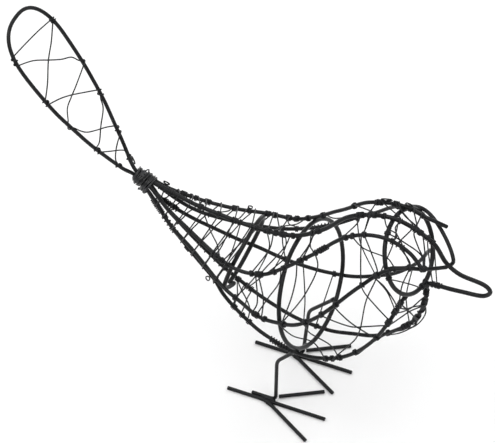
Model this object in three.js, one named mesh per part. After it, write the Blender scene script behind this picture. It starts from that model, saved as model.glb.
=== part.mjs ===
import * as THREE from 'three';

// Bird bent from iron wire. Ribs tied at the tail run forward over three hoops to the beak,
// a laced loop is the tail, and two legs end in feet of straight rod.
// Millimetres. Beak towards +X, left side +Y, floor at Z = 0; X = 0 is the chest hoop until the end.

// Wire stock, and the clearance left where two wires touch
const wire = 2.4;
const thread = 0.8;
const clearance = 0.3;
const wireSides = 6;
const rodSides = 8;
const threadSides = 3;

// Hoops inside the ribs: middle, half width, half height, and lean of the top towards the tail
const hoops = {
  rear: { x: -47.2, z: 113.1, halfWidth: 25.8, halfHeight: 25, lean: -15.5, seam: -115 },
  chest: { x: 0, z: 105, halfWidth: 44.4, halfHeight: 38.4, lean: 13.8, seam: -78 },
  head: { x: 64.9, z: 165.6, halfWidth: 27.7, halfHeight: 24.9, lean: 27.2, seam: 100 },
};
const hoopSteps = 34;
const seamGap = 0.4;

// Binding that holds the rib ends and the tail ends
const binding = { x: -116.5, z: 149.3, pitch: -33, rear: -7, front: 5.6, rearRadius: 4.2, frontRadius: 6.4 };
const wraps = { count: 6, rise: 0.5 };
const bundleRing = 3.15;
const bundleAngles = { spine: 90, upper: 38.6, middle: -12.9, lower: -64.3 };
const bundleSpread = 0.9;

// Tail loop: its plane, its length, where it is widest and how wide
const tail = { x: -122.1, z: 149.5, raise: 55, length: 135.3, widestAt: 0.74, halfWidth: 23.1, flare: 0.93 };
const tailRoot = 1.5;
const tailSteps = 22;
const tailLaceStations = [0.102, 0.24, 0.416, 0.595, 0.84];
const tailLaceShift = 0.011;

// Thread wound round the ribs behind the chest: distance from the binding, then turns that open out
const laceTurns = { start: 15, pitch: 8.4, growth: 1.06, count: 9 };

// Legs and feet
const legY = { right: -20.1, left: 23.1 };
const knee = { right: { x: -15.5, z: 42 }, left: { x: -12.4, z: 47.6 } };
const ankleX = -16.8;
const hipAngle = -61.5;
const stub = 17;
const bendReach = 4.5;
const footRods = {
  foot_rod: { x: -33.4, y: -2.75, angle: 0, length: 69.6 },
  right_toe: { x: -0.6, y: -5.6, angle: -30, length: 36.5 },
  left_toe: { x: 0.9, y: 3.3, angle: 30, length: 30.4 },
};
const footYaw = 2.3;

const iron = { color: 0x17181a, roughness: 0.38, metalness: 0.6 };
const lacingIron = { color: 0x1d1e20, roughness: 0.42, metalness: 0.6 };

const turn = THREE.MathUtils.degToRad;
const at = (x, y, z) => new THREE.Vector3(x, y, z);

// Corner radius of a regular polygon with the area of the round wire
function cornerRadius(diameter, sides) {
  return Math.sqrt((Math.PI * diameter ** 2) / (2 * sides * Math.sin((2 * Math.PI) / sides)));
}

// Cross-section of a wire, with a flat side facing each of ±Y
function section(diameter, sides) {
  const radius = cornerRadius(diameter, sides);
  const corners = [];
  for (let k = 0; k < sides; k += 1) {
    const angle = (2 * Math.PI * (k + 0.5)) / sides - Math.PI / 2;
    corners.push(new THREE.Vector2(radius * Math.cos(angle), radius * Math.sin(angle)));
  }
  return new THREE.Shape(corners);
}

// Centre line whose stations are its own points, so that no bend is cut off
class BentWire extends THREE.Curve {
  constructor(points) {
    super();
    this.points = points;
  }

  getPoint(t, target = new THREE.Vector3()) {
    const last = this.points.length - 1;
    const span = Math.min(Math.floor(t * last), last - 1);
    return target.lerpVectors(this.points[span], this.points[span + 1], t * last - span);
  }

  getUtoTmapping(u) {
    return u;
  }
}

// Solid wire along a row of points
function sweep(points, diameter, sides) {
  return new THREE.ExtrudeGeometry(section(diameter, sides), {
    steps: points.length - 1,
    bevelEnabled: false,
    extrudePath: new BentWire(points),
  });
}

// Point of a hoop at an angle from its left side, moved outwards in the hoop's own plane
function onHoop(hoop, angle, outwards = 0) {
  const across = (hoop.halfWidth + outwards) * Math.cos(turn(angle));
  const up = (hoop.halfHeight + outwards) * Math.sin(turn(angle));
  const lean = turn(hoop.lean);
  return at(hoop.x - up * Math.sin(lean), across, hoop.z + up * Math.cos(lean));
}

function hoopWire(hoop) {
  const half = THREE.MathUtils.radToDeg(seamGap / (hoop.halfWidth + hoop.halfHeight));
  const points = [];
  for (let k = 0; k <= hoopSteps; k += 1) {
    points.push(onHoop(hoop, hoop.seam + half + ((360 - 2 * half) * k) / hoopSteps));
  }
  return sweep(points, wire, wireSides);
}

// Point of the binding: distance along its axis towards the body, and offsets to the left and up
function inBinding(along, left, up) {
  const pitch = turn(binding.pitch);
  const x = binding.x + along * Math.cos(pitch) - up * Math.sin(pitch);
  return at(x, left, binding.z + along * Math.sin(pitch) + up * Math.cos(pitch));
}

// Rib end in its place round the bundle: one stop in the middle of the binding, one at its mouth
function bundled(name, side) {
  const angle = turn(bundleAngles[name]);
  const stop = (along, radius) => inBinding(along, side * radius * Math.cos(angle), radius * Math.sin(angle));
  return [stop(0, bundleRing), stop(binding.front, bundleRing + bundleSpread)];
}

const overHoop = (name, angle) => onHoop(hoops[name], angle, wire + clearance);

const spineStops = [
  ...bundled('spine', 0),
  at(-99.4, 0, 146.9),
  at(-75.4, 0, 141.9),
  overHoop('rear', 90),
  at(-18.5, 0, 142.5),
  overHoop('chest', 90).add(at(0.6, 0, 0.7)),
  at(9.4, 0, 160.9),
  at(24.6, 0, 178.2),
  at(38.1, 0, 186.3),
  overHoop('head', 90),
  at(68.2, 0, 187),
  at(80.8, 0, 179.8),
  at(89.3, 0, 166.3),
  at(98.2, 0, 160.2),
  at(115.6, 0, 157.6),
  at(118.6, 0, 153.6),
  at(114.7, 0, 148.3),
  at(99, 0, 145.2),
  at(78.9, 0, 142.9),
];

const bellyStops = [
  inBinding(0, 0, 0),
  inBinding(binding.front, 0, 0),
  at(-102.3, 0, 131.2),
  at(-81.9, 0, 109.2),
  overHoop('rear', -90),
  at(-31.6, 0, 73.6),
  at(-12.5, 0, 66.4),
  overHoop('chest', -90),
  at(27, 0, 69.3),
  at(43, 0, 75),
  at(58.5, 0, 88.4),
  at(70.3, 0, 103.7),
  at(76.1, 0, 121.5),
  at(77.6, 0, 140.2),
];

// Stops of the three ribs of the left side
const ribStops = {
  upper: [
    ...bundled('upper', 1),
    at(-98.2, 7.3, 140.1),
    at(-70, 16, 130.3),
    overHoop('rear', 29),
    at(-23, 25.8, 129.6),
    overHoop('chest', 60),
    at(10, 19.9, 157.8),
    at(33, 15.2, 180.1),
    overHoop('head', 62),
    at(71.4, 15.3, 182.3),
    at(81.6, 19, 176.2),
  ],
  middle: [
    ...bundled('middle', 1),
    at(-93.3, 10, 126.9),
    at(-73.4, 16.7, 116.9),
    overHoop('rear', -10),
    at(-33, 34.3, 106.9),
    at(-18.5, 40.6, 108),
    overHoop('chest', 14),
    at(12, 49.6, 123.8),
    at(22.9, 48.4, 133.6),
    at(34.4, 45.2, 146.9),
    at(48.2, 36, 163),
    overHoop('head', 21),
    at(69.9, 23.2, 176.2),
    at(79.7, 16.5, 173.4),
    at(90.9, 3.1, 166.6),
  ],
  lower: [
    ...bundled('lower', 1),
    at(-106.2, 3.4, 133.4),
    at(-93.1, 7.6, 120.9),
    at(-59.8, 18.6, 100.2),
    at(-50.6, 23, 93.6),
    at(-21.1, 31, 80.6),
    overHoop('chest', -41),
    at(24.6, 37.6, 84.6),
    at(40.2, 37.4, 94.6),
    at(57.5, 35.4, 115.8),
    at(65.4, 32.6, 132.8),
    at(70.8, 21.6, 147),
  ],
};
const ribSteps = { upper: 32, middle: 36, lower: 34 };

// Half width of the tail loop at a fraction of its length: a sine flare, then half an oval
function tailHalfWidth(s) {
  const { widestAt, flare } = tail;
  const rising = Math.sin((Math.PI / 2) * Math.min(1, s / widestAt) ** flare);
  const rounding = Math.sqrt(Math.max(0, 1 - (Math.max(0, s - widestAt) / (1 - widestAt)) ** 2));
  return tail.halfWidth * rising * rounding;
}

// Point of the tail plane, raised off it towards the back of the bird's neck
function onTail(s, across, off = 0) {
  const raise = turn(tail.raise);
  const x = tail.x - s * tail.length * Math.cos(raise) + off * Math.sin(raise);
  return at(x, across, tail.z + s * tail.length * Math.sin(raise) + off * Math.cos(raise));
}

// Points of one side of the tail, closer together where the tip turns
function tailSide(side) {
  const points = [inBinding(-0.8, side * tailRoot, 0), inBinding(binding.rear, side * tailRoot, 0)];
  for (let k = 1; k < tailSteps; k += 1) {
    const s = Math.sin((Math.PI / 2) * (k / tailSteps));
    points.push(onTail(s, side * tailHalfWidth(s)));
  }
  return points;
}

function tailLoop() {
  return sweep([...tailSide(1), onTail(1, 0), ...tailSide(-1).reverse()], wire, wireSides);
}

// Distance between the middles of a thread and the wire it lies on
const threadReach = cornerRadius(wire, wireSides) + cornerRadius(thread, threadSides) + 0.15;

// Lacing strand of the tail: it crosses from side to side, lying on one face of the loop
function tailLacing(face) {
  const on = (station, side) => {
    const s = station - side * tailLaceShift;
    return onTail(s, side * tailHalfWidth(s), face * threadReach);
  };
  const points = tailLaceStations.map((station, k) => on(station, k % 2 ? face : -face));
  if (face > 0) {
    points.push(on(tailLaceStations[tailLaceStations.length - 1], face));
  }
  return sweep(points, thread, threadSides);
}

// Point where a straight run of thread crosses a hoop's plane, lifted clear of the hoop
function overHoopPlane(hoop, from, to) {
  const lean = turn(hoop.lean);
  const middle = at(hoop.x, 0, hoop.z);
  const up = at(-Math.sin(lean), 0, Math.cos(lean));
  const normal = at(Math.cos(lean), 0, Math.sin(lean));
  const start = from.clone().sub(middle).dot(normal);
  const end = to.clone().sub(middle).dot(normal);
  if (start * end > 0) {
    return [];
  }
  const crossing = from.clone().lerp(to, start / (start - end)).sub(middle);
  const angle = Math.atan2(crossing.dot(up) / hoop.halfHeight, crossing.y / hoop.halfWidth);
  return [onHoop(hoop, THREE.MathUtils.radToDeg(angle), threadReach)];
}

// Crossings of the thread: place and direction of each wire in turn, and the way out of the body
function laceCrossings(wires) {
  const crossings = [];
  let distance = laceTurns.start;
  let pitch = laceTurns.pitch;
  for (let k = 0; k <= laceTurns.count * wires.length; k += 1) {
    const ring = wires.map((curve) => curve.getPointAt(distance / curve.getLength()));
    const middle = ring.reduce((sum, point) => sum.add(point), at(0, 0, 0)).divideScalar(ring.length);
    const curve = wires[k % wires.length];
    const place = ring[k % wires.length];
    const tangent = curve.getTangentAt(distance / curve.getLength());
    crossings.push({ place, tangent, outwards: place.clone().sub(middle) });
    distance += pitch / wires.length;
    pitch *= laceTurns.growth ** (1 / wires.length);
  }
  return crossings;
}

// Thread that bends over the outside of each wire it crosses, square to its runs on both sides
function bodyLacing(wires) {
  const crossings = laceCrossings(wires);
  const points = [];
  crossings.forEach(({ place, tangent, outwards }, k) => {
    const before = crossings[Math.max(k - 1, 0)].place;
    const after = crossings[Math.min(k + 1, crossings.length - 1)].place;
    const lift = (run) => {
      const square = run.cross(tangent);
      return square.setLength(Math.sign(square.dot(outwards)) * threadReach);
    };
    const lifts = [];
    if (k > 0) {
      lifts.push(lift(place.clone().sub(before)));
    }
    if (k < crossings.length - 1) {
      lifts.push(lift(after.clone().sub(place)));
    }
    if (lifts.length > 1) {
      lifts.splice(1, 0, lifts[0].clone().add(lifts[1]).setLength(threadReach));
    }
    const bent = lifts.map((vector) => vector.add(place));
    if (points.length > 0) {
      points.push(...overHoopPlane(hoops.rear, points[points.length - 1], bent[0]));
    }
    points.push(...bent);
  });
  return sweep(points, thread, threadSides);
}

// Sleeve of tight wraps round the rib ends, wider at its mouth, turned from a closed profile
function bindingSleeve() {
  const { rear, front } = binding;
  const profile = [];
  for (let k = 0; k <= 2 * wraps.count; k += 1) {
    const share = k / (2 * wraps.count);
    const radius = THREE.MathUtils.lerp(binding.rearRadius, binding.frontRadius, share);
    profile.push(new THREE.Vector2(radius + (k % 2) * wraps.rise, rear + (front - rear) * share));
  }
  const room = wire / 2 + clearance + 0.1;
  profile.push(new THREE.Vector2(bundleRing + bundleSpread + room, front));
  profile.push(new THREE.Vector2(bundleRing + room, -1.4));
  profile.push(new THREE.Vector2(tailRoot + room, -2.4));
  profile.push(new THREE.Vector2(tailRoot + room, rear));
  const sleeve = new THREE.LatheGeometry([...profile, profile[0]], 14);
  sleeve.rotateZ(-Math.PI / 2);
  sleeve.rotateY(-turn(binding.pitch));
  return sleeve.translate(binding.x, 0, binding.z);
}

// Points of a bent rod: straight runs, with each corner turned along a small curve
function cornered(corners, reach) {
  const points = [corners[0]];
  for (let k = 1; k < corners.length - 1; k += 1) {
    const before = corners[k - 1].clone().sub(corners[k]).setLength(reach).add(corners[k]);
    const after = corners[k + 1].clone().sub(corners[k]).setLength(reach).add(corners[k]);
    points.push(...new THREE.QuadraticBezierCurve3(before, corners[k], after).getPoints(5));
  }
  return [...points, corners[corners.length - 1]];
}

// Place on the floor beside an ankle, at the height where a rod's flat side lies on the floor
const rodHeight = cornerRadius(wire, rodSides) * Math.cos(Math.PI / rodSides);

function onFloor(label, x, y) {
  const place = at(x, y, rodHeight).applyAxisAngle(at(0, 0, 1), turn(footYaw));
  return place.add(at(ankleX, legY[label], 0));
}

// Leg: a stub beside the foot rod, up to the knee, then forward to the underside of the chest hoop
function leg(label, side) {
  const hip = onHoop(hoops.chest, side > 0 ? hipAngle : 180 - hipAngle);
  const bentAt = at(knee[label].x, legY[label], knee[label].z);
  const top = bentAt.clone().sub(hip).setLength(wire + clearance).add(hip);
  const corners = [onFloor(label, -stub, 0), onFloor(label, 0, 0), bentAt, top];
  return sweep(cornered(corners, bendReach), wire, rodSides);
}

// Straight rod of a foot, square at both ends
function toe(label, start, angle, length) {
  const cut = { depth: length, steps: 1, bevelEnabled: false };
  const bar = new THREE.ExtrudeGeometry(section(wire, rodSides), cut);
  bar.rotateY(Math.PI / 2);
  bar.rotateZ(turn(angle + footYaw));
  const { x, y, z } = onFloor(label, start.x, start.y);
  return bar.translate(x, y, z);
}

const meshes = [];

function add(name, geometry, look = iron) {
  const mesh = new THREE.Mesh(geometry, new THREE.MeshStandardMaterial(look));
  mesh.name = name;
  meshes.push(mesh);
}

const mirrored = (stops, side) => stops.map((stop) => at(stop.x, side * stop.y, stop.z));
const curveOf = (stops) => new THREE.CatmullRomCurve3(stops);
const sides = [['left', 1], ['right', -1]];

add('spine_and_beak', sweep(curveOf(spineStops).getSpacedPoints(56), wire, wireSides));
add('belly_wire', sweep(curveOf(bellyStops).getSpacedPoints(36), wire, wireSides));
for (const [name, hoop] of Object.entries(hoops)) {
  add(`${name}_hoop`, hoopWire(hoop));
}
for (const [name, stops] of Object.entries(ribStops)) {
  for (const [label, side] of sides) {
    const points = curveOf(mirrored(stops, side)).getSpacedPoints(ribSteps[name]);
    add(`${name}_rib_${label}`, sweep(points, wire, wireSides));
  }
}
const { upper, middle, lower } = ribStops;
const round = [
  spineStops,
  ...[upper, middle, lower].map((stops) => mirrored(stops, -1)),
  bellyStops,
  ...[lower, middle, upper],
];
add('body_lacing', bodyLacing(round.map(curveOf)), lacingIron);
add('tail_loop', tailLoop());
add('tail_binding', bindingSleeve());
add('tail_lacing_upper', tailLacing(1), lacingIron);
add('tail_lacing_under', tailLacing(-1), lacingIron);
for (const [label, side] of sides) {
  add(`leg_${label}`, leg(label, side));
  for (const [name, bar] of Object.entries(footRods)) {
    add(`${name}_of_${label}_leg`, toe(label, bar, bar.angle, bar.length));
  }
}

// The part stands with the middle of its outline over the origin
const group = new THREE.Group();
group.add(...meshes);
const box = new THREE.Box3().setFromObject(group);
const shift = box.getCenter(at(0, 0, 0)).setZ(box.min.z).negate();
for (const mesh of meshes) {
  mesh.geometry.translate(shift.x, shift.y, shift.z);
}
export default group;
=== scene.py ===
import bpy
import numpy as np
from mathutils import Matrix, Vector


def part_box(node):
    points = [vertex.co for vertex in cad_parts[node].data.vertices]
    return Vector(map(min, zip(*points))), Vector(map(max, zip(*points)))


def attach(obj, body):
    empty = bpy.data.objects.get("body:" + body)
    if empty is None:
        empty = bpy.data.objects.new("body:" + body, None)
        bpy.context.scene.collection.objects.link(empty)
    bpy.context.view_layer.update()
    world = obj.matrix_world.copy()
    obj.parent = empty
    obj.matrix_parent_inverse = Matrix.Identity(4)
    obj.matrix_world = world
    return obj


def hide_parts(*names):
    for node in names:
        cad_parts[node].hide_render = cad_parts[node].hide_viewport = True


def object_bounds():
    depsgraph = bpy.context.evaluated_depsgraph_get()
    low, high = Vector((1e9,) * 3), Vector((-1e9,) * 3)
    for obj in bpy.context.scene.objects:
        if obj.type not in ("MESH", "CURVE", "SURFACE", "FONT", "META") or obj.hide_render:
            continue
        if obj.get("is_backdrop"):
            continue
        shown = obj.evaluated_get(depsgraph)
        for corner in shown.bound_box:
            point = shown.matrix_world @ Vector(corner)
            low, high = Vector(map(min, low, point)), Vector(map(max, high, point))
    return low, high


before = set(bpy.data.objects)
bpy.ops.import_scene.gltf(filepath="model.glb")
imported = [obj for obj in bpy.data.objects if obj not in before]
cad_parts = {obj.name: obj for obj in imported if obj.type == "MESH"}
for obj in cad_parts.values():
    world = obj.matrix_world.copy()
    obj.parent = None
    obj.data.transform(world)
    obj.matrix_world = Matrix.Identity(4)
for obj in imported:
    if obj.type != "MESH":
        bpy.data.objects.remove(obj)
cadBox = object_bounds()
scene = bpy.context.scene
mm = 0.001

# every wire is measured in mm from under the middle of the chest hoop, beak towards +X
chestBox = np.array(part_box("chest_hoop"))
chestMiddle = chestBox.mean(axis=0)
foot = np.array([chestMiddle[0], chestMiddle[1], 0.0])

print("stage: frame loaded")


# materials

def linearColour(hexText):
    # sRGB to linear: c / 12.92 below 0.04045, ((c + 0.055) / 1.055) ^ 2.4 above
    srgb = np.array([int(hexText[k:k + 2], 16) for k in (1, 3, 5)]) / 255
    linear = np.where(srgb <= 0.04045, srgb / 12.92, ((srgb + 0.055) / 1.055) ** 2.4)
    return (*linear.tolist(), 1.0)


def addNode(tree, kind, settings=None, inputs=None, links=None):
    # one shader node with its settings, socket values and links
    node = tree.nodes.new(kind)
    for name, value in (settings or {}).items():
        setattr(node, name, value)
    for name, value in (inputs or {}).items():
        node.inputs[name].default_value = value
    for name, socket in (links or {}).items():
        tree.links.new(socket, node.inputs[name])
    return node


def perMetre(millimetres):
    return 1000.0 / millimetres     # noise scale whose features are about that many mm wide


def ironMaterial(name, look):
    # noise clouds blend two colours and two roughness values; finer noise is the bump
    material = bpy.data.materials.new(name)
    material.use_nodes = True
    tree = material.node_tree
    shader = tree.nodes["Principled BSDF"]
    shader.inputs["Metallic"].default_value = look["metallic"]
    shader.inputs["Specular IOR Level"].default_value = look["specular"]
    shader.inputs["Coat Weight"].default_value = look["coat"]
    shader.inputs["Coat Roughness"].default_value = look["coatRoughness"]
    place = addNode(tree, "ShaderNodeTexCoord").outputs["Object"]
    cloud = addNode(tree, "ShaderNodeTexNoise", inputs={
        "Scale": perMetre(look["cloudSize"]), "Detail": 3.0, "Roughness": 0.55}, links={"Vector": place})
    colour = addNode(tree, "ShaderNodeValToRGB", links={"Fac": cloud.outputs["Fac"]})
    colour.color_ramp.elements[0].position = 0.32
    colour.color_ramp.elements[0].color = linearColour(look["dark"])
    colour.color_ramp.elements[1].position = 0.68
    colour.color_ramp.elements[1].color = linearColour(look["light"])
    tree.links.new(colour.outputs["Color"], shader.inputs["Base Color"])
    gloss = addNode(tree, "ShaderNodeMapRange", inputs={
        "From Min": 0.3, "From Max": 0.7, "To Min": look["roughness"][0], "To Max": look["roughness"][1]},
        links={"Value": cloud.outputs["Fac"]})
    tree.links.new(gloss.outputs["Result"], shader.inputs["Roughness"])
    grain = addNode(tree, "ShaderNodeTexNoise", inputs={
        "Scale": perMetre(look["grainSize"]), "Detail": 2.0}, links={"Vector": place})
    bump = addNode(tree, "ShaderNodeBump", inputs={
        "Strength": look["grainStrength"], "Distance": look["grainDepth"] * mm},
        links={"Height": grain.outputs["Fac"]})
    tree.links.new(bump.outputs["Normal"], shader.inputs["Normal"])
    return material


# drawn iron wire under brushed black lacquer: near black, soft broken sheen, slight unevenness along the wire
bodyLook = {"dark": "#0c0d0e", "light": "#1b1c1e", "metallic": 0.0, "specular": 0.2,
            "roughness": (0.3, 0.46), "coat": 0.05,
            "coatRoughness": 0.22, "cloudSize": 9, "grainSize": 0.9,
            "grainStrength": 0.35, "grainDepth": 0.06}
bodyIron = ironMaterial("lacqueredIronWire", bodyLook)

# annealed binding wire under the same lacquer: thinner coat, a little greyer and duller
threadLook = {"dark": "#121314", "light": "#2a2b2d", "metallic": 0.0, "specular": 0.2,
              "roughness": (0.36, 0.54), "coat": 0.03,
              "coatRoughness": 0.3, "cloudSize": 6, "grainSize": 0.6,
              "grainStrength": 0.3, "grainDepth": 0.04}
threadIron = ironMaterial("lacqueredBindingWire", threadLook)

# the same wire where it is wound round the tail's root, made glossier so it glints between the turns under the
# lamps; its lighter cloud colour is a painted highlight standing in for those glints
glossAndPaintedGlintLook = {**threadLook, "light": "#313235", "specular": 0.55, "roughness": (0.26, 0.42)}
glossAndPaintedGlintIron = ironMaterial("glossyBindingWireWithPaintedGlints", glossAndPaintedGlintLook)


# shapes

def pathThrough(stops, spacing):
    # centripetal Catmull-Rom curve through the stops: each run is a cubic whose end slopes come from the
    # square roots of the neighbouring distances; then points at even spacing along it
    stops = np.asarray(stops, float)
    ends = np.vstack([2 * stops[0] - stops[1], stops, 2 * stops[-1] - stops[-2]])
    p0, p1, p2, p3 = ends[:-3], ends[1:-2], ends[2:-1], ends[3:]
    pairs = ((p0, p1), (p1, p2), (p2, p3))
    d0, d1, d2 = (np.sqrt(np.linalg.norm(b - a, axis=1, keepdims=True)) for a, b in pairs)
    m1 = d1 * ((p1 - p0) / d0 - (p2 - p0) / (d0 + d1) + (p2 - p1) / d1)
    m2 = d1 * ((p2 - p1) / d1 - (p3 - p1) / (d1 + d2) + (p3 - p2) / d2)
    t = np.linspace(0, 1, 40, endpoint=False)[None, :, None]
    p1, p2, m1, m2 = (a[:, None, :] for a in (p1, p2, m1, m2))
    cubic = p1 + m1 * t + (3 * (p2 - p1) - 2 * m1 - m2) * t ** 2 + (2 * (p1 - p2) + m1 + m2) * t ** 3
    return evenly(np.vstack([cubic.reshape(-1, 3), stops[-1:]]), spacing)


def lengthsAlong(path):
    # running sum of the distances between neighbouring points
    return np.concatenate([[0.0], np.cumsum(np.linalg.norm(np.diff(path, axis=0), axis=1))])


def along(path, distance):
    # point at a distance from the path's start, linear between its points
    lengths = lengthsAlong(path)
    return np.stack([np.interp(distance, lengths, path[:, axis]) for axis in range(3)], axis=-1)


def evenly(path, spacing):
    # points at equal steps of length, none longer than the spacing
    length = lengthsAlong(path)[-1]
    return along(path, np.linspace(0, length, max(2, int(np.ceil(length / spacing)) + 1)))


def unit(vectors):
    # each vector over its own length
    return vectors / np.linalg.norm(vectors, axis=-1, keepdims=True)


def directions(path):
    # unit differences between the points before and after
    return unit(np.gradient(path, axis=0))


def squareTo(tangents):
    # two directions square to the path that don't twist along it: a first guess square to the axis least
    # along the tangent, turned back by the sum of the angles between neighbouring guesses
    axes = np.eye(3)[np.argmin(np.abs(tangents), axis=1)]
    guess = unit(np.cross(tangents, axes))
    other = np.cross(tangents, guess)
    carried = guess[:-1] - tangents[1:] * np.sum(guess[:-1] * tangents[1:], axis=1, keepdims=True)
    step = np.arctan2(np.sum(carried * other[1:], axis=1), np.sum(carried * guess[1:], axis=1))
    twist = np.concatenate([[0.0], np.cumsum(step)])[:, None]
    side = guess * np.cos(twist) + other * np.sin(twist)
    return side, np.cross(tangents, side)


def ringFaces(count, sides):
    # quads between neighbouring rings, and triangles from the first and last ring to their poles, which are
    # the two vertices after the rings
    ring, spot = np.meshgrid(np.arange(count - 1), np.arange(sides), indexing="ij")
    after = (spot + 1) % sides
    quads = np.stack([ring * sides + spot, ring * sides + after, (ring + 1) * sides + after,
                      (ring + 1) * sides + spot], axis=-1).reshape(-1, 4)
    spot = np.arange(sides)
    after = (spot + 1) % sides
    lastRing = (count - 1) * sides
    caps = np.vstack([np.stack([np.full(sides, count * sides), after, spot], axis=-1),
                      np.stack([np.full(sides, count * sides + 1), lastRing + spot, lastRing + after],
                               axis=-1)])
    return quads, caps


def tube(path, radius, sides, cut):
    # a circle carried along the path; its radius shrinks by a tenth over the cut length at both ends, and a
    # flat cap closes each end on a pole
    lengths = lengthsAlong(path)
    stations = np.union1d(lengths, np.concatenate([cut * np.array([0.15, 0.5, 1.0]),
                                                   lengths[-1] - cut * np.array([0.15, 0.5, 1.0])]))
    path = along(path, stations)
    side, up = squareTo(directions(path))
    inset = np.clip(np.minimum(stations, stations[-1] - stations) / cut, 0, 1)
    radii = radius * (1 - 0.14 * (1 - inset) ** 2)
    turn = np.linspace(0, 2 * np.pi, sides, endpoint=False)
    spoke = side[:, None] * np.cos(turn)[None, :, None] + up[:, None] * np.sin(turn)[None, :, None]
    rings = path[:, None] + radii[:, None, None] * spoke
    vertices = np.vstack([rings.reshape(-1, 3), path[:1], path[-1:]])
    return vertices, *ringFaces(len(path), sides)


def joined(tubes):
    # many tubes in one mesh: each one's vertex numbers start where the last one's end
    starts = np.cumsum([0] + [len(vertices) for vertices, quads, caps in tubes])
    vertices = np.vstack([part[0] for part in tubes])
    quads = np.vstack([part[1] + start for part, start in zip(tubes, starts)])
    caps = np.vstack([part[2] + start for part, start in zip(tubes, starts)])
    return vertices, quads, caps


def addPiece(name, shape, material, nodes=()):
    # mm from under the chest hoop to metres in the frame: vertices x mm + foot
    vertices, quads, caps = shape
    mesh = bpy.data.meshes.new(name)
    mesh.from_pydata((vertices * mm + foot).tolist(), [], quads.tolist() + caps.tolist())
    smooth = np.concatenate([np.ones(len(quads), bool), np.zeros(len(caps), bool)])
    mesh.polygons.foreach_set("use_smooth", smooth)
    mesh.materials.append(material)
    mesh.update()
    piece = bpy.data.objects.new(name, mesh)
    scene.collection.objects.link(piece)
    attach(piece, "root")
    if nodes:
        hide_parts(*nodes)
    return piece


def wavering(path, reach, wave, phase):
    # hand-bent wire: two slow sine waves across the path, fading out at both ends
    lengths = lengthsAlong(path)
    side, up = squareTo(directions(path))
    fade = np.clip(np.minimum(lengths, lengths[-1] - lengths) / 12, 0, 1)[:, None]
    across = np.sin(2 * np.pi * lengths / wave + phase)[:, None] * side
    upward = np.sin(2 * np.pi * lengths / (wave * 0.63) + 2.1 * phase)[:, None] * up
    return path + reach * fade * (across + 0.6 * upward)


# hoops, binding, ribs

wireStock = {"radius": 1.25, "stout": 1.42, "sides": 18, "step": 1.5, "cut": 0.35,
             "gap": 0.3, "waver": 0.16, "wave": 46}
hoops = {
    "rear": {"x": -47.2, "z": 113.1, "halfWidth": 25.8, "halfHeight": 25.0, "lean": -15.5,
             "from": -112, "to": 253, "lap": 2.7},
    "chest": {"x": 0.0, "z": 105.0, "halfWidth": 44.4, "halfHeight": 38.4, "lean": 13.8,
              "from": -78, "to": 281.6, "lap": 0.0},
    "head": {"x": 64.9, "z": 165.6, "halfWidth": 27.7, "halfHeight": 24.9, "lean": 27.2,
             "from": 100, "to": 459.4, "lap": 0.0},
}
binding = {"x": -116.5, "z": 149.3, "pitch": -33, "rear": -7.0, "front": 5.6,
           "rearRadius": 4.2, "frontRadius": 6.4}
bundle = {"ring": 3.15, "spread": 0.9, "spine": 90, "upper": 38.6, "middle": -12.9, "lower": -64.3}


def onHoop(hoop, angle, outwards=0.0):
    # oval in a leaning plane: across = half width x cos, up = half height x sin, up leaning towards the tail
    angle = np.radians(angle)
    lean = np.radians(hoop["lean"])
    across = (hoop["halfWidth"] + outwards) * np.cos(angle)
    up = (hoop["halfHeight"] + outwards) * np.sin(angle)
    return np.stack([hoop["x"] - up * np.sin(lean), across, hoop["z"] + up * np.cos(lean)], axis=-1)


def overHoop(name, angle):
    # on the hoop's oval, pushed out by one wire's thickness and the gap
    return onHoop(hoops[name], angle, 2 * wireStock["radius"] + wireStock["gap"])


def inBinding(distance, left, up):
    # distance along the binding's axis towards the body, then offsets to the left and up
    pitch = np.radians(binding["pitch"])
    x = binding["x"] + distance * np.cos(pitch) - up * np.sin(pitch)
    z = binding["z"] + distance * np.sin(pitch) + up * np.cos(pitch)
    return np.stack([x, left + 0 * x, z], axis=-1)


def bundled(name, side):
    # two points at the wire's own angle round the binding's axis, the front one spread wider
    angle = np.radians(bundle[name])
    radii = (bundle["ring"], bundle["ring"] + bundle["spread"])
    return [inBinding(np.float64(distance), side * radius * np.cos(angle), radius * np.sin(angle))
            for distance, radius in zip((0.0, binding["front"]), radii)]


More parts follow.
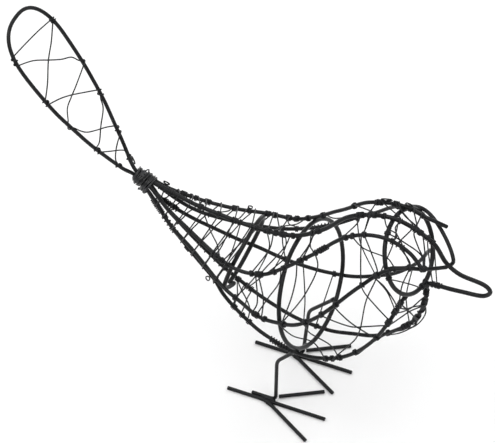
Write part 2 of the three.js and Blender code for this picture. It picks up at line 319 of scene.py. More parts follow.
wireStops = {
    "spine": [
        *bundled("spine", 0), (-99.4, 0, 146.9), (-75.4, 0, 141.9), overHoop("rear", 90), (-18.5, 0, 142.5),
        overHoop("chest", 90) + (0.6, 0, 0.7), (9.4, 0, 160.9), (24.6, 0, 178.2), (38.1, 0, 186.3),
        overHoop("head", 90), (68.2, 0, 187), (80.8, 0, 179.8), (89.3, 0, 166.3), (98.2, 0, 160.2),
        (115.6, 0, 157.6), (118.6, 0, 153.6), (114.7, 0, 148.3), (99, 0, 145.2), (78.9, 0, 142.9)],
    "belly": [
        inBinding(np.float64(0), 0, 0), inBinding(np.float64(binding["front"]), 0, 0), (-102.3, 0, 131.2),
        (-81.9, 0, 109.2), overHoop("rear", -90), (-31.6, 0, 73.6), (-12.5, 0, 66.4), overHoop("chest", -90),
        (27, 0, 69.3), (43, 0, 75), (58.5, 0, 88.4), (70.3, 0, 103.7), (76.1, 0, 121.5), (77.6, 0, 140.2)],
    "upper": [
        *bundled("upper", 1), (-98.2, 7.3, 140.1), (-70, 16, 130.3), overHoop("rear", 29), (-23, 25.8, 129.6),
        overHoop("chest", 60), (10, 19.9, 157.8), (33, 15.2, 180.1), overHoop("head", 62),
        (71.4, 15.3, 182.3), (81.6, 19, 176.2)],
    "middle": [
        *bundled("middle", 1), (-93.3, 10, 126.9), (-73.4, 16.7, 116.9), overHoop("rear", -10),
        (-33, 34.3, 106.9), (-18.5, 40.6, 108), overHoop("chest", 14), (12, 49.6, 123.8),
        (22.9, 48.4, 133.6), (34.4, 45.2, 146.9), (48.2, 36, 163), overHoop("head", 21),
        (69.9, 23.2, 176.2), (79.7, 16.5, 173.4), (90.9, 3.1, 166.6)],
    "lower": [
        *bundled("lower", 1), (-106.2, 3.4, 133.4), (-93.1, 7.6, 120.9), (-59.8, 18.6, 100.2),
        (-50.6, 23, 93.6), (-21.1, 31, 80.6), overHoop("chest", -41), (24.6, 37.6, 84.6), (40.2, 37.4, 94.6),
        (57.5, 35.4, 115.8), (65.4, 32.6, 132.8), (70.8, 21.6, 147)],
}
# the lower ribs end against the head hoop, and the far middle rib hooks round to the root of the beak
lowerTip = onHoop(hoops["head"], -45)
towardsRib = unit(np.array(wireStops["lower"][-1]) - lowerTip)
wireStops["lower"].append(lowerTip + 2 * wireStock["radius"] * towardsRib)
hookedTip = [(90.2, 6.5, 168.2), (92.4, 3.6, 165.2), (91.0, 3.0, 162.4)]
mirror = np.array([1, -1, 1])
wirePaths = {}
for name, stops in wireStops.items():
    path = pathThrough(stops, wireStock["step"])
    if name in ("spine", "belly"):
        wirePaths[name] = path
    else:
        wirePaths[name + "Left"] = path
        wirePaths[name + "Right"] = path * mirror
wirePaths["middleLeft"] = pathThrough(wireStops["middle"][:-1] + hookedTip, wireStock["step"])


def bodyWire(path, phase, waver=wireStock["waver"], radius=wireStock["radius"]):
    # a tube on the wavering path
    hand = wavering(path, waver, wireStock["wave"], phase)
    return tube(hand, radius, wireStock["sides"], wireStock["cut"])


wireNodes = {"spine": "spine_and_beak", "belly": "belly_wire"}
for name in ("upper", "middle", "lower"):
    for label in ("Left", "Right"):
        wireNodes[name + label] = f"{name}_rib_{label.lower()}"
for phase, (name, node) in enumerate(wireNodes.items()):
    radius = wireStock["stout"] if name == "spine" else wireStock["radius"]
    shape = bodyWire(wirePaths[name], 1.3 * phase, radius=radius)
    addPiece(node + "_wire", shape, bodyIron, [node])


def hoopPath(hoop):
    # the oval from one cut end to the other; past the full turn it slides aside so that the ends lie lapped
    angle = np.linspace(hoop["from"], hoop["to"], 260)
    past = np.clip((angle - hoop["from"] - 300) / 60, 0, 1) ** 2
    lean = np.radians(hoop["lean"])
    aside = np.array([np.cos(lean), 0, np.sin(lean)]) * hoop["lap"]
    return evenly(onHoop(hoop, angle) + past[:, None] * aside, wireStock["step"])


for phase, (name, hoop) in enumerate(hoops.items()):
    shape = bodyWire(hoopPath(hoop), 0.7 + phase, 0.1, wireStock["stout"])
    addPiece(f"{name}_hoop_wire", shape, bodyIron, [f"{name}_hoop"])
print("stage: ribs and hoops")


# tail loop

tail = {"x": -122.1, "z": 149.5, "raise": 55, "length": 135.3, "widestAt": 0.76, "halfWidth": 23.0,
        "flare": 0.93, "tip": 0.982, "roundness": 2.4, "root": 1.5}


def tailHalfWidth(s):
    # sine flare up to the widest place, then a full rounded end: (1 - t ^ roundness) ^ (1 / roundness)
    rising = np.sin(np.pi / 2 * np.minimum(1, s / tail["widestAt"]) ** tail["flare"])
    past = np.clip((s - tail["widestAt"]) / (tail["tip"] - tail["widestAt"]), 0, 1)
    return tail["halfWidth"] * rising * (1 - past ** tail["roundness"]) ** (1 / tail["roundness"])


def onTail(s, across, off=0.0):
    # point of the raised tail plane: share of its length, offset across it, offset off its front face
    tilt = np.radians(tail["raise"])
    reach = s * tail["length"]
    x = tail["x"] - reach * np.cos(tilt) + off * np.sin(tilt)
    return np.stack([x, across + 0 * x, tail["z"] + reach * np.sin(tilt) + off * np.cos(tilt)], axis=-1)


s = tail["tip"] * np.sin(np.pi / 2 * np.arange(3, 60) / 60)
leftSide = onTail(s, tailHalfWidth(s))
rootStops = inBinding(np.array([-0.8, binding["rear"]]), tail["root"], 0.0)
tailHalf = np.vstack([rootStops, leftSide])
tailTip = onTail(np.array([tail["tip"]]), 0.0)
tailPath = pathThrough(np.vstack([tailHalf, tailTip, (tailHalf * mirror)[::-1]]), wireStock["step"])
addPiece("tail_loop_wire", bodyWire(tailPath, 2.6, waver=0.12), bodyIron, ["tail_loop"])


# legs and feet

feet = {"ankleX": -16.8, "height": 1.25, "yaw": 2.3, "stub": 17, "bendReach": 4.5, "hipAngle": -61.5,
        "legY": {"right": -20.1, "left": 23.1}, "knee": {"right": (-15.5, 42), "left": (-12.4, 47.6)}}
footRods = {
    "foot_rod": {"x": -33.4, "y": -2.75, "angle": 0, "length": 69.6, "root": []},
    "right_toe": {"x": -0.6, "y": -5.6, "angle": -30, "length": 36.5, "root": [(-4.6, -4.3), (-2.9, -4.8)]},
    "left_toe": {"x": 0.9, "y": 3.3, "angle": 30, "length": 30.4, "root": []},
}


def onFloor(label, x, y):
    # x along the foot and y to its left, turned by the yaw, from the ankle
    yaw = np.radians(feet["yaw"])
    return np.array([feet["ankleX"] + x * np.cos(yaw) - y * np.sin(yaw),
                     feet["legY"][label] + x * np.sin(yaw) + y * np.cos(yaw), feet["height"]])


def corneredPath(corners, reach):
    # straight runs; each corner is a quadratic curve that starts and ends the reach away from it
    runs = [corners[0][None]]
    t = np.linspace(0, 1, 16)[:, None]
    for before, corner, after in zip(corners, corners[1:], corners[2:]):
        start = corner + reach * unit(before - corner)
        end = corner + reach * unit(after - corner)
        runs.append((1 - t) ** 2 * start + 2 * t * (1 - t) * corner + t ** 2 * end)
    return np.vstack(runs + [corners[-1][None]])


def legPath(label):
    # stub on the floor, ankle, knee, then up to just short of the chest hoop
    hipAngle = feet["hipAngle"] if label == "left" else 180 - feet["hipAngle"]
    hip = onHoop(hoops["chest"], hipAngle)
    kneeX, kneeZ = feet["knee"][label]
    knee = np.array([kneeX, feet["legY"][label], kneeZ])
    top = hip + (2 * wireStock["radius"] + wireStock["gap"]) * unit(knee - hip)
    corners = [onFloor(label, -feet["stub"], 0), onFloor(label, 0, 0), knee, top]
    return evenly(corneredPath(corners, feet["bendReach"]), wireStock["step"])


def rodPath(label, rod):
    # a straight bar; where it has a root, that lies along the foot rod and the bar bends away from it
    angle = np.radians(rod["angle"])
    reach = rod["length"] * np.array([0.0, 0.1, 0.3, 1.0])
    bar = zip(rod["x"] + reach * np.cos(angle), rod["y"] + reach * np.sin(angle))
    return pathThrough([onFloor(label, *spot) for spot in [*rod["root"], *bar]], wireStock["step"])


for phase, label in enumerate(("left", "right")):
    leg = bodyWire(legPath(label), 3.1 + phase, waver=0.0)
    addPiece(f"leg_{label}_wire", leg, bodyIron, [f"leg_{label}"])
    for name, rod in footRods.items():
        shape = tube(rodPath(label, rod), feet["height"], wireStock["sides"], wireStock["cut"])
        node = f"{name}_of_{label}_leg"
        addPiece(node + "_bar", shape, bodyIron, [node])


# solder where wires meet: small uneven blobs under the lacquer

solder = {"rings": 11, "sides": 14, "uneven": 0.13, "crossing": 1.15, "hip": 1.75, "ankle": 1.6, "toe": 1.35,
          "tip": 1.6, "throat": 2.1, "reach": (0.5, 2.2), "lift": 0.55}
hoopCrossings = {"rear": (90, 29, 151, -10, 190, -90), "chest": (90, 60, 120, 14, 166, -41, 221, -90),
                 "head": (90, 62, 118, 21, 159)}


def bead(start, end, radius, phase):
    # blob round a short line: radius x sqrt(1 - t ^ 2), t from -1 to 1 along it, times waves round and along
    start, end = np.asarray(start, float), np.asarray(end, float)
    axis = unit(end - start)
    half = np.linalg.norm(end - start) / 2 + radius
    t = -np.cos(np.linspace(0, np.pi, solder["rings"] + 2))[1:-1, None]
    turn = np.linspace(0, 2 * np.pi, solder["sides"], endpoint=False)[None]
    ripple = np.sin(2 * turn + phase) * np.cos(2.5 * t) + np.sin(3 * turn - 2 * phase + 2 * t)
    waves = 1 + solder["uneven"] * ripple / 2
    side, up = (vector[0] for vector in squareTo(axis[None]))
    spoke = side * np.cos(turn)[..., None] + up * np.sin(turn)[..., None]
    middle = (start + end) / 2
    swell = (radius * np.sqrt(1 - t ** 2) * waves)[..., None]
    rings = middle + half * t[..., None] * axis + swell * spoke
    poles = middle + half * np.array([[-1.0], [1.0]]) * axis
    return np.vstack([rings.reshape(-1, 3), poles]), *ringFaces(solder["rings"], solder["sides"])


beads = []
for name, angles in hoopCrossings.items():
    for angle in angles:
        inner, outer = (onHoop(hoops[name], angle, reach) for reach in solder["reach"])
        beads.append(bead(inner, outer, solder["crossing"], angle))
lift = np.array([0, 0, solder["lift"]])
for phase, label in enumerate(("left", "right")):
    leg = legPath(label)
    beads.append(bead(leg[-3], leg[-1] + unit(leg[-1] - leg[-3]), solder["hip"], phase))
    ankle = [onFloor(label, x, -1.4) + lift for x in (-8.5, -1.0)]
    beads.append(bead(*ankle, solder["ankle"], 2 + phase))
    toe = [onFloor(label, x, -4.0) + lift for x in (-6.2, -2.0)]
    beads.append(bead(*toe, solder["toe"], 4 + phase))
    tip = wirePaths["lower" + label.title()]
    beads.append(bead(tip[-2], tip[-1] + unit(tip[-1] - tip[-2]), solder["tip"], 5 + phase))
beads.append(bead(wireStops["belly"][-1], onHoop(hoops["head"], -90), solder["throat"], 1.0))
addPiece("solder_beads", joined(beads), bodyIron)
print("stage: tail, legs and feet")


# lacing: thin wire wound round the ribs and run between them

wirePaths["tail"] = tailPath
for name, hoop in hoops.items():
    wirePaths[name + "Hoop"] = hoopPath(hoop)
thread = {"radius": 0.45, "sides": 6, "step": 0.9, "cut": 0.12, "turnPoints": 13, "climb": 1.0, "endTurns": 2}
ringNames = ("spine", "upperRight", "middleRight", "lowerRight",
             "belly", "lowerLeft", "middleLeft", "upperLeft")
panels = {"backRight": ("spine", "upperRight"), "sideRight": ("upperRight", "middleRight"),
          "lowRight": ("middleRight", "lowerRight"), "underRight": ("lowerRight", "belly"),
          "backLeft": ("spine", "upperLeft"), "sideLeft": ("upperLeft", "middleLeft"),
          "lowLeft": ("middleLeft", "lowerLeft"), "underLeft": ("lowerLeft", "belly"),
          "beak": ("spine", "spine")}


def bodyMiddle(distance):
    # mean of the eight ribs' points at one distance
    return np.mean([along(wirePaths[name], distance) for name in ringNames], axis=0)


def squared(vector, tangent):
    # unit part of the vector square to the tangent
    return unit(vector - tangent * (vector @ tangent))


def wound(stop, coming, going, turns, rise):
    # thread on a wire: it comes in along one direction, touches the wire on its outer side, goes round it by
    # whole turns and leaves along the other direction, rising along the wire by the same length each turn
    travel = squared(coming, stop["tangent"])
    outward = np.cross(stop["tangent"], travel)
    outward = outward if outward @ stop["outward"] >= 0 else -outward
    leaving = squared(going, stop["tangent"])
    sweep = max(0.2, np.arctan2(-(leaving @ outward), leaving @ travel) + 2 * np.pi * turns)
    angle = np.linspace(0, sweep, max(3, int(thread["turnPoints"] * sweep / (2 * np.pi))))[:, None]
    reach = wireStock["radius"] + thread["radius"]
    way = 1 if (coming + going) @ stop["tangent"] >= 0 else -1
    climb = way * rise * (angle - sweep / 2) / (2 * np.pi)
    spoke = outward * np.cos(angle) + travel * np.sin(angle)
    return stop["point"] + reach * spoke + climb * stop["tangent"]


def onWire(name, distance, outFrom):
    # point, direction and outward side at a distance along a wire
    point = along(wirePaths[name], distance)
    ahead = along(wirePaths[name], distance + 0.6) - along(wirePaths[name], distance - 0.6)
    return {"point": point, "tangent": unit(ahead), "outward": point - outFrom}


def onHoopWire(name, angle):
    # the same on the hoop's point nearest to an angle of its oval
    path = wirePaths[name]
    place = onHoop(hoops[name.removesuffix("Hoop")], angle)
    nearest = np.argmin(np.linalg.norm(path - place, axis=1))
    return onWire(name, lengthsAlong(path)[nearest], path.mean(axis=0))


def laceStop(panel, distance, share):
    # share 0 or 1 is a stop on the panel's first or second wire; between them the thread hangs free. On a
    # hoop the distance is an angle, and along the throat the share is mm of slack outside the belly wire
    if panel == "headHoop":
        return onHoopWire(panel, distance)
    if panel == "throat":
        belly = onWire("belly", distance, bodyMiddle(distance))
        return {"point": belly["point"] + share * squared(belly["outward"], belly["tangent"])}
    first, second = (along(wirePaths[name], distance) for name in panels[panel])
    if share in (0, 1):
        return onWire(panels[panel][share], distance, bodyMiddle(distance))
    return {"point": (1 - share) * first + share * second}


def strandPath(stops, rise=thread["climb"], endTurns=thread["endTurns"], knotEvery=1):
    # free points as they are, wound turns at the wires; more turns where the thread starts and ends, and
    # a whole turn only at every so many wires, while at the others it just bends over
    points = [stop["point"] for stop in stops]
    runs = []
    for k, stop in enumerate(stops):
        if "tangent" not in stop:
            runs.append(stop["point"][None])
            continue
        going = points[k + 1] - points[k] if k + 1 < len(stops) else points[k] - points[k - 1]
        coming = points[k] - points[k - 1] if k > 0 else going
        knot = 1 if k % knotEvery == 0 else 0
        turns = knot if 0 < k < len(stops) - 1 else endTurns
        runs.append(wound(stop, coming, going, turns, rise))
    return pathThrough(np.vstack(runs), thread["step"])


def threadTube(path):
    # a tube of the lacing wire's thickness
    return tube(path, thread["radius"], thread["sides"], thread["cut"])


# the long lacing runs round all eight ribs in turn, from the binding to just past the rear hoop
laceTurns = {"start": 15, "pitch": 8.4, "growth": 1.06, "count": 7, "knotEvery": 5}
distance, pitch = laceTurns["start"], laceTurns["pitch"]
roundStops = []
for k in range(laceTurns["count"] * len(ringNames) + 1):
    name = ringNames[k % len(ringNames)]
    roundStops.append(onWire(name, distance, bodyMiddle(distance)))
    distance += pitch / len(ringNames)
    pitch *= laceTurns["growth"] ** (1 / len(ringNames))
longLacing = threadTube(strandPath(roundStops, knotEvery=laceTurns["knotEvery"]))
addPiece("body_lacing_thread", longLacing, threadIron, ["body_lacing"])

# strands tied by hand from rib to rib: panel, distance along its wires, share of the way across
strands = [
    [("backRight", 85, 0), ("backRight", 94, 0.33), ("backRight", 99, 1)],
    [("backRight", 92, 0), ("backRight", 95, 0.36), ("backRight", 95, 1)],
    [("backRight", 98, 0), ("backRight", 104, 0.24), ("backRight", 112, 1)],
    [("backRight", 104, 0), ("backRight", 104, 0.24), ("backRight", 102, 1)],
    [("backLeft", 87, 1), ("backLeft", 93, 0.31), ("backRight", 96, 0)],
    [("backLeft", 97, 1), ("backLeft", 94, 0.33), ("backLeft", 92, 0)],
    [("backRight", 120, 0), ("backRight", 130, 0.47), ("backRight", 148, 1), ("sideRight", 155, 0.22),
     ("sideRight", 152, 0.59), ("sideRight", 141, 1)],
    [("backRight", 126, 0), ("backRight", 128, 0.44), ("backRight", 135, 1)],
    [("backRight", 125, 0), ("backRight", 129, 0.45), ("backRight", 139, 1), ("sideRight", 154, 0.67),
     ("sideRight", 161, 1)],
    [("sideRight", 134, 0), ("sideRight", 137, 0.29), ("sideRight", 140, 0.61), ("sideRight", 141, 1)],
    [("underLeft", 145, 0), ("underLeft", 148, 0.51), ("underLeft", 152, 1)],
    [("backRight", 171, 0), ("backRight", 183, 0.77), ("backRight", 187, 1), ("sideRight", 198, 0.57),
     ("sideRight", 211, 1), ("lowRight", 213, 0.18), ("lowRight", 238, 1)],
    [("backRight", 174, 0), ("backRight", 182, 0.7), ("backRight", 188, 1), ("sideRight", 196, 0.21),
     ("sideRight", 214, 0.69), ("sideRight", 222, 1), ("lowRight", 231, 0.37), ("lowRight", 244, 1)],
    [("lowRight", 223, 0), ("lowRight", 213, 0.29), ("lowRight", 205, 0.68), ("lowRight", 200, 0.78),
     ("lowRight", 178, 1)],
    [("lowRight", 189, 0), ("lowRight", 192, 0.23), ("lowRight", 200, 0.52), ("lowRight", 221, 1)],
    [("lowRight", 176, 0), ("lowRight", 199, 0.55), ("lowRight", 211, 0.69), ("lowRight", 236, 1)],
    [("lowRight", 142, 0), ("lowRight", 150, 0.4), ("lowRight", 165, 0.57), ("lowRight", 173, 1)],
    [("lowRight", 162, 0), ("lowRight", 164, 0.32), ("lowRight", 179, 0.72), ("lowRight", 184, 1)],
    [("backRight", 174, 1), ("backRight", 168, 0.24), ("backRight", 166, 0)],
    [("backLeft", 163, 0), ("backLeft", 170, 0.12), ("backLeft", 183, 1)],
    [("backRight", 181, 0), ("backRight", 192, 0.45), ("backRight", 201, 0.59), ("backRight", 206, 1)],
    [("backLeft", 162, 1), ("backLeft", 171, 0.48), ("backLeft", 175, 0)],
    [("sideRight", 179, 0), ("sideRight", 190, 0.18), ("sideRight", 207, 0.3), ("sideRight", 212, 0.33),
     ("sideRight", 223, 0.54), ("sideRight", 234, 1)],
    [("backLeft", 186, 1), ("backRight", 192, 0), ("backRight", 195, 0.33), ("backRight", 213, 1),
     ("sideRight", 220, 0.12), ("sideRight", 227, 0.24), ("lowRight", 243, 0), ("lowRight", 242, 0.38),
     ("lowRight", 246, 1)],
    [("headHoop", 108, 0), ("backRight", 211, 0.76), ("backRight", 223, 0.71), ("lowRight", 252, 0)],
    [("backLeft", 197, 1), ("backLeft", 198, 0.54), ("backLeft", 203, 0.28), ("backLeft", 205, 0)],
    [("backLeft", 206, 1), ("backRight", 203, 0), ("backRight", 204, 0.14), ("backRight", 216, 0.56),
     ("backRight", 224, 0.7), ("lowRight", 253, 0)],
    [("backRight", 206, 0), ("backRight", 221, 0.52), ("lowRight", 251, 0)],
    [("backLeft", 214, 1), ("backLeft", 204, 0.2), ("backLeft", 202, 0)],
    [("lowRight", 222, 0), ("lowRight", 228, 0.24), ("lowRight", 241, 0.72), ("lowRight", 246, 1),
     ("underRight", 248, 0.54), ("underRight", 256, 1)],
    [("underRight", 252, 0), ("underRight", 237, 1)],
    [("beak", 215, 0), ("beak", 304, 0)],
    [("beak", 211, 0), ("beak", 307, 0)],
    [("headHoop", 172, 0), ("headHoop", 261, 0)],
    [("underRight", 222, 1), ("throat", 226, 3.0), ("throat", 236, 3.4), ("throat", 246, 3.0),
     ("underRight", 257, 1)],
    [("underRight", 206, 1), ("throat", 212, 2.8), ("throat", 222, 3.0), ("throat", 231, 2.6),
     ("underRight", 238, 1)],
    [("backRight", 40, 0), ("backRight", 54, 0.57), ("backRight", 64, 0.79), ("backRight", 72, 1)],
    [("backRight", 62, 0), ("backRight", 64, 0.23), ("backRight", 67, 0.86), ("backRight", 68, 1)],
    [("backRight", 67, 0), ("backRight", 72, 0.45), ("backRight", 75, 0.78), ("backRight", 78, 1)],
    [("backRight", 79, 0), ("backRight", 76, 0.41), ("backRight", 73, 1)],
    [("backLeft", 35, 1), ("backLeft", 39, 0)],
    [("backLeft", 60, 1), ("backLeft", 58, 0.75), ("backLeft", 52, 0)],
    [("backLeft", 70, 1), ("backLeft", 65, 0.19), ("backLeft", 64, 0)],
    [("backLeft", 195, 1), ("backRight", 200, 0), ("backRight", 204, 0.4), ("sideRight", 210, 0),
     ("sideRight", 226, 0.21), ("sideRight", 231, 1)],
    [("underRight", 253, 1), ("underRight", 245, 0.57), ("underRight", 240, 0.36), ("underRight", 236, 0)],
    [("underRight", 252, 0), ("underRight", 244, 0.6), ("underRight", 235, 1)],
    [("underRight", 249, 0), ("underRight", 247, 0.33), ("underRight", 249, 0.6), ("underRight", 253, 1)],
    [("underRight", 198, 0), ("underRight", 210, 0.31), ("underRight", 216, 0.73), ("underRight", 221, 1)],
    [("sideRight", 120, 0), ("sideRight", 122, 0.29), ("sideRight", 119, 0.61), ("sideRight", 117, 1)],
    [("sideRight", 100, 0), ("sideRight", 98, 0.54), ("sideRight", 96, 1)],
    [("sideRight", 102, 0), ("sideRight", 116, 0.67), ("sideRight", 124, 1)],
    [("underRight", 93, 1), ("underRight", 98, 0.72), ("underRight", 104, 0.56), ("underRight", 109, 0.36),
     ("underRight", 113, 0)],
    [("underRight", 99, 1), ("underRight", 98, 0.72), ("underRight", 98, 0.42), ("underRight", 99, 0)],
    [("underRight", 92, 1), ("underRight", 98, 0.34), ("underRight", 100, 0)],
    [("underRight", 103, 1), ("underRight", 104, 0.58), ("underRight", 105, 0.35), ("underRight", 107, 0)],
    [("sideRight", 100, 0), ("sideRight", 110, 0.64), ("sideRight", 113, 0.82), ("sideRight", 115, 1)],
    [("sideLeft", 96, 0), ("sideLeft", 100, 0.5), ("sideLeft", 108, 1)],
    [("sideLeft", 113, 0), ("sideLeft", 106, 0.5), ("sideLeft", 99, 1)],
    [("lowLeft", 98, 0), ("lowLeft", 104, 0.5), ("lowLeft", 112, 1)],
    [("underLeft", 112, 0), ("underLeft", 106, 0.5), ("underLeft", 100, 1)],
    [("lowLeft", 150, 0), ("lowLeft", 158, 0.45), ("lowLeft", 174, 1)],
    [("lowLeft", 196, 0), ("lowLeft", 190, 0.5), ("lowLeft", 176, 1)],
    [("sideLeft", 128, 0), ("sideLeft", 136, 0.5), ("sideLeft", 150, 1)],
    [("underLeft", 206, 0), ("underLeft", 214, 0.5), ("underLeft", 226, 1)],
]
tied = joined([threadTube(strandPath([laceStop(*stop) for stop in stops])) for stops in strands])
addPiece("hand_tied_strands", tied, threadIron)


def spiral(path, start, end, turns, phase=0.0, lift=0.0):
    # thread wound along a wire: a circle round it at the thread's height while the distance grows evenly
    angle = np.linspace(0, 2 * np.pi * turns, max(8, int(thread["turnPoints"] * turns)))[:, None]
    distance = np.linspace(start, end, len(angle))
    centre = along(path, distance)
    tangent = unit(along(path, distance + 0.6) - along(path, distance - 0.6))
    side, up = squareTo(tangent)
    reach = wireStock["radius"] + thread["radius"] + lift
    return centre + reach * (side * np.cos(angle + phase) + up * np.sin(angle + phase))


# places where the thread is wound several times along one rib: wire, from, to, turns
windings = [("lowerRight", 13, 24, 9), ("lowerRight", 26, 40, 5), ("lowerRight", 50, 54, 5),
            ("lowerRight", 130, 148, 9), ("belly", 60, 82, 5), ("spine", 9, 21, 8), ("upperLeft", 25, 29, 4),
            ("upperLeft", 41, 45, 4), ("upperLeft", 59, 63, 4), ("upperLeft", 80, 84, 4),
            ("upperLeft", 101, 104, 3), ("belly", 222, 252, 4), ("belly", 261, 268, 3), ("spine", 301, 308, 3),
            ("upperRight", 150, 158, 4), ("middleLeft", 120, 132, 5), ("lowerLeft", 20, 32, 6)]
coils = [spiral(wirePaths[name], start, end, turns, 0.7 * k)
         for k, (name, start, end, turns) in enumerate(windings)]


def looseLoop(stop, width, height):
    # small slack loop: a drop with its point on the rib, standing out from it;
    # across = sin x sin of half the angle
    angle = np.linspace(-0.4, 2 * np.pi + 0.4, 24)[:, None]
    outward = squared(stop["outward"], stop["tangent"])
    sideways = np.cross(stop["tangent"], outward) * thread["radius"] * (angle - np.pi) / np.pi
    reach = wireStock["radius"] + height * (1 - np.cos(angle)) / 2
    across = width * 0.65 * np.sin(angle) * np.abs(np.sin(angle / 2))
    return stop["point"] + across * stop["tangent"] + reach * outward + sideways


# slack loops left by the maker: wire, distance, width and height in mm
loops = [("upperLeft", 13.4, 5.0, 1.4), ("upperLeft", 70.3, 3.0, 1.9), ("lowerRight", 74.9, 3.0, 2.6),
         ("upperLeft", 204, 4.6, 1.7), ("upperLeft", 190, 8.0, 1.2), ("belly", 196, 3.4, 1.5)]
coils += [looseLoop(onWire(name, distance, bodyMiddle(distance)), width, height)
          for name, distance, width, height in loops]
coils = [threadTube(pathThrough(path, thread["step"])) for path in coils]
addPiece("wound_thread", joined(coils), threadIron)
print("stage: body lacing")


# tail lacing: two threads zigzag from side to side and cross in the middle

tailStations = [0.102, 0.24, 0.416, 0.595, 0.84]
tailLace = {"shift": 0.011, "crossing": 0.5, "rise": 3.4, "endTurns": 1,
            "slackAt": 0.075, "slack": (5.4, 1.7)}
# bends of each run, from the root up: share of the tail's length, mm across; neighbours hook each other
tailBends = {
    "upper": [[(0.141, -5.6), (0.178, 1.4)], [(0.283, 4.4), (0.316, -3.6), (0.349, -10.6), (0.376, -13.8)],
              [(0.463, -17.0), (0.502, -11.6), (0.521, -3.0), (0.536, 5.4)],
              [(0.641, 16.0), (0.674, 8.6), (0.713, 1.6), (0.782, -10.2)], [(0.855, 5.2)]],
    "under": [[(0.126, 6.2), (0.19, -4.2)], [(0.262, -6.8), (0.307, 2.8), (0.352, 13.0)],
              [(0.484, 6.6), (0.524, -2.0), (0.557, -10.6)], [(0.656, -11.2), (0.719, 0.0), (0.767, 11.6)]],
}


def tailStop(s, side):
    # the tail loop's point nearest to its edge at that share of the length
    edge = onTail(np.float64(s), side * tailHalfWidth(s))
    nearest = np.argmin(np.linalg.norm(tailPath - edge, axis=1))
    return onWire("tail", lengthsAlong(tailPath)[nearest], onTail(np.float64(s), 0.0))


def tailStrand(face, bends):
    # the sides are taken in turn, the first thread starting on the right; between stops the thread follows
    # its bends, just off the tail's plane
    stations = tailStations + tailStations[-1:]
    stops = []
    for k, s in enumerate(stations[:len(bends) + 1]):
        side = face * (1 if k % 2 else -1)
        stops.append(tailStop(s - side * tailLace["shift"], side))
        if k < len(bends):
            stops += [{"point": onTail(np.float64(share), across, face * tailLace["crossing"])}
                      for share, across in bends[k]]
    return strandPath(stops, rise=tailLace["rise"], endTurns=tailLace["endTurns"])


for face, label in ((1, "upper"), (-1, "under")):
    runs = [tailStrand(face, tailBends[label])]
    if label == "upper":
        slack = looseLoop(tailStop(tailLace["slackAt"], 1), *tailLace["slack"])
        runs.append(pathThrough(slack, thread["step"]))
    shape = joined([threadTube(run) for run in runs])
    addPiece(f"tail_lacing_{label}_thread", shape, threadIron, [f"tail_lacing_{label}"])


# binding where the ribs and the tail loop are bundled: an even layer of turns, then steep crossing ones

wrap = {"turns": 13, "steepTurns": (3, -4, 2, -2), "uneven": 0.34}


def bindingRadius(distance):
    # straight taper from the tail end to the body end
    share = (distance - binding["rear"]) / (binding["front"] - binding["rear"])
    return binding["rearRadius"] + share * (binding["frontRadius"] - binding["rearRadius"])


def bindingTurns(turns, lift, phase):
    # helix on the taper; two slow waves make its spacing and height uneven
    share = np.linspace(0, 1, int(abs(turns) * 26))
    angle = 2 * np.pi * turns * share + phase
    distance = binding["rear"] + (binding["front"] - binding["rear"]) * share
    distance = distance + wrap["uneven"] * np.sin(2.3 * angle / abs(turns) ** 0.5 + phase)
    radius = bindingRadius(distance) - thread["radius"] + lift
    radius = radius + wrap["uneven"] * np.sin(1.7 * angle + 2 * phase)
    return inBinding(distance, radius * np.cos(angle), radius * np.sin(angle))


turnsOfBinding = [bindingTurns(wrap["turns"], -0.2, 0.0)]
for k, turns in enumerate(wrap["steepTurns"]):
    turnsOfBinding.append(bindingTurns(turns, 0.25 + 0.2 * k, 1.1 + 2.0 * k))
# short bent ends that stick out of the binding: distance along it, left, up
looseEnds = [[(-3.0, 3.0, 4.0), (-2.2, 3.5, 6.9), (-1.9, 3.5, 6.9), (-0.9, 3.4, 4.6)],
             [(3.6, -5.2, 1.8), (4.4, -7.2, 2.2), (4.7, -7.2, 2.1), (5.0, -5.0, 2.0)],
             [(0.8, -4.0, -4.0), (1.1, -5.0, -5.2), (1.3, -5.0, -5.2), (1.7, -4.2, -4.4)]]
turnsOfBinding += [np.array([inBinding(np.float64(d), left, up) for d, left, up in end]) for end in looseEnds]
bindingParts = [threadTube(pathThrough(path, thread["step"])) for path in turnsOfBinding]
# the binding's turns use the glossier wire, whose lighter cloud colour is a painted highlight
addPiece("tail_binding_turns", joined(bindingParts), glossAndPaintedGlintIron, ["tail_binding"])
print("stage: tail lacing and binding")


# stage, light and camera

floorSize = 8.0
floorMesh = bpy.data.meshes.new("floor")
half = floorSize / 2
floorCorners = [(-half, -half, 0), (half, -half, 0), (half, half, 0), (-half, half, 0)]
floorMesh.from_pydata(floorCorners, [], [(0, 1, 2, 3)])
floor = bpy.data.objects.new("floor", floorMesh)
scene.collection.objects.link(floor)
floorPaint = bpy.data.materials.new("paleFloor")
floorPaint.use_nodes = True
floorPaint.node_tree.nodes["Principled BSDF"].inputs["Base Color"].default_value = linearColour("#f6f6f6")
floorPaint.node_tree.nodes["Principled BSDF"].inputs["Roughness"].default_value = 0.9
floorPaint.node_tree.nodes["Principled BSDF"].inputs["Specular IOR Level"].default_value = 0.1
floorMesh.materials.append(floorPaint)
floor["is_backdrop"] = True

# lamps: place in metres, size, power; the overhead light is even all over the floor:
# power per square metre, spread
studio = {"horizon": 0.95, "zenith": 0.13, "fadeTo": 0.4, "overhead": (2.35, 100),
          "lamps": {"key": (-0.9, -0.5, 1.9, 0.9, 9.0), "fill": (1.4, -0.8, 1.5, 0.8, 6.0),
                    "back": (0.3, 1.7, 1.6, 1.0, 5.0)}}
world = bpy.data.worlds.new("studio")
world.use_nodes = True
sky = world.node_tree
sky.nodes["Background"].inputs["Color"].default_value = (1, 1, 1, 1)
ray = addNode(sky, "ShaderNodeSeparateXYZ", links={
    "Vector": addNode(sky, "ShaderNodeTexCoord").outputs["Generated"]})
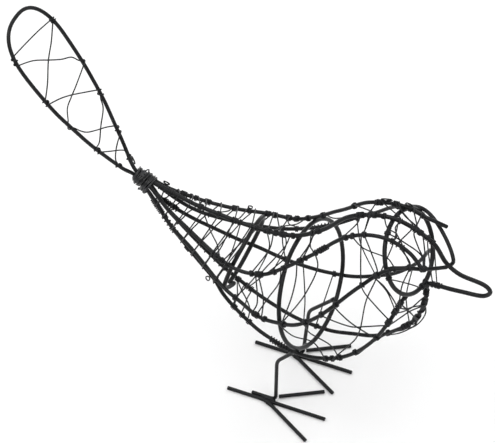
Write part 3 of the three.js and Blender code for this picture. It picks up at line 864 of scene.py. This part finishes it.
fade = addNode(sky, "ShaderNodeMapRange", {"interpolation_type": "SMOOTHSTEP"}, {
    "From Min": 0.0, "From Max": studio["fadeTo"], "To Min": studio["horizon"], "To Max": studio["zenith"]},
    {"Value": ray.outputs["Z"]})
sky.links.new(fade.outputs["Result"], sky.nodes["Background"].inputs["Strength"])
scene.world = world
for name, (x, y, z, size, power) in studio["lamps"].items():
    light = bpy.data.lights.new(name, "AREA")
    light.size = size
    light.energy = power
    lamp = bpy.data.objects.new(name, light)
    lamp.location = (x, y, z)
    lamp.rotation_euler = (Vector((0, 0, 0.1)) - Vector((x, y, z))).to_track_quat("-Z", "Y").to_euler()
    scene.collection.objects.link(lamp)
overhead = bpy.data.lights.new("overhead", "SUN")
overhead.energy = studio["overhead"][0]
overhead.angle = np.radians(studio["overhead"][1])
scene.collection.objects.link(bpy.data.objects.new("overhead", overhead))

view = {"turn": 24.5, "rise": 49.0, "distance": 1580, "aimRight": -40.5, "aimUp": 39.1, "focalPixels": 2500,
        "imageWidth": 495, "sensor": 36.0}
turn, rise = np.radians(view["turn"]), np.radians(view["rise"])
right = np.array([np.cos(turn), np.sin(turn), 0])
up = np.array([-np.sin(turn) * np.sin(rise), np.cos(turn) * np.sin(rise), np.cos(rise)])
back = np.cross(right, up)
eye = chestMiddle + back * view["distance"] * mm
aim = chestMiddle + (right * view["aimRight"] + up * view["aimUp"]) * mm
lens = bpy.data.cameras.new("camera")
lens.sensor_fit = "HORIZONTAL"
lens.sensor_width = view["sensor"]
lens.lens = view["sensor"] * view["focalPixels"] / view["imageWidth"]
lens.clip_end = 50
camera = bpy.data.objects.new("camera", lens)
backward = unit(eye - aim)
level = squared(right, backward)          # the picture keeps its own level, not the floor's
camera.matrix_world = Matrix(np.column_stack([level, np.cross(backward, level), backward]).tolist()).to_4x4()
camera.location = eye
scene.collection.objects.link(camera)
scene.camera = camera
scene.view_settings.view_transform = "Standard"
print("stage: light and camera")

size = {"cad": [list(map(float, corner)) for corner in cadBox],
        "visual": [list(map(float, corner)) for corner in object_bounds()]}
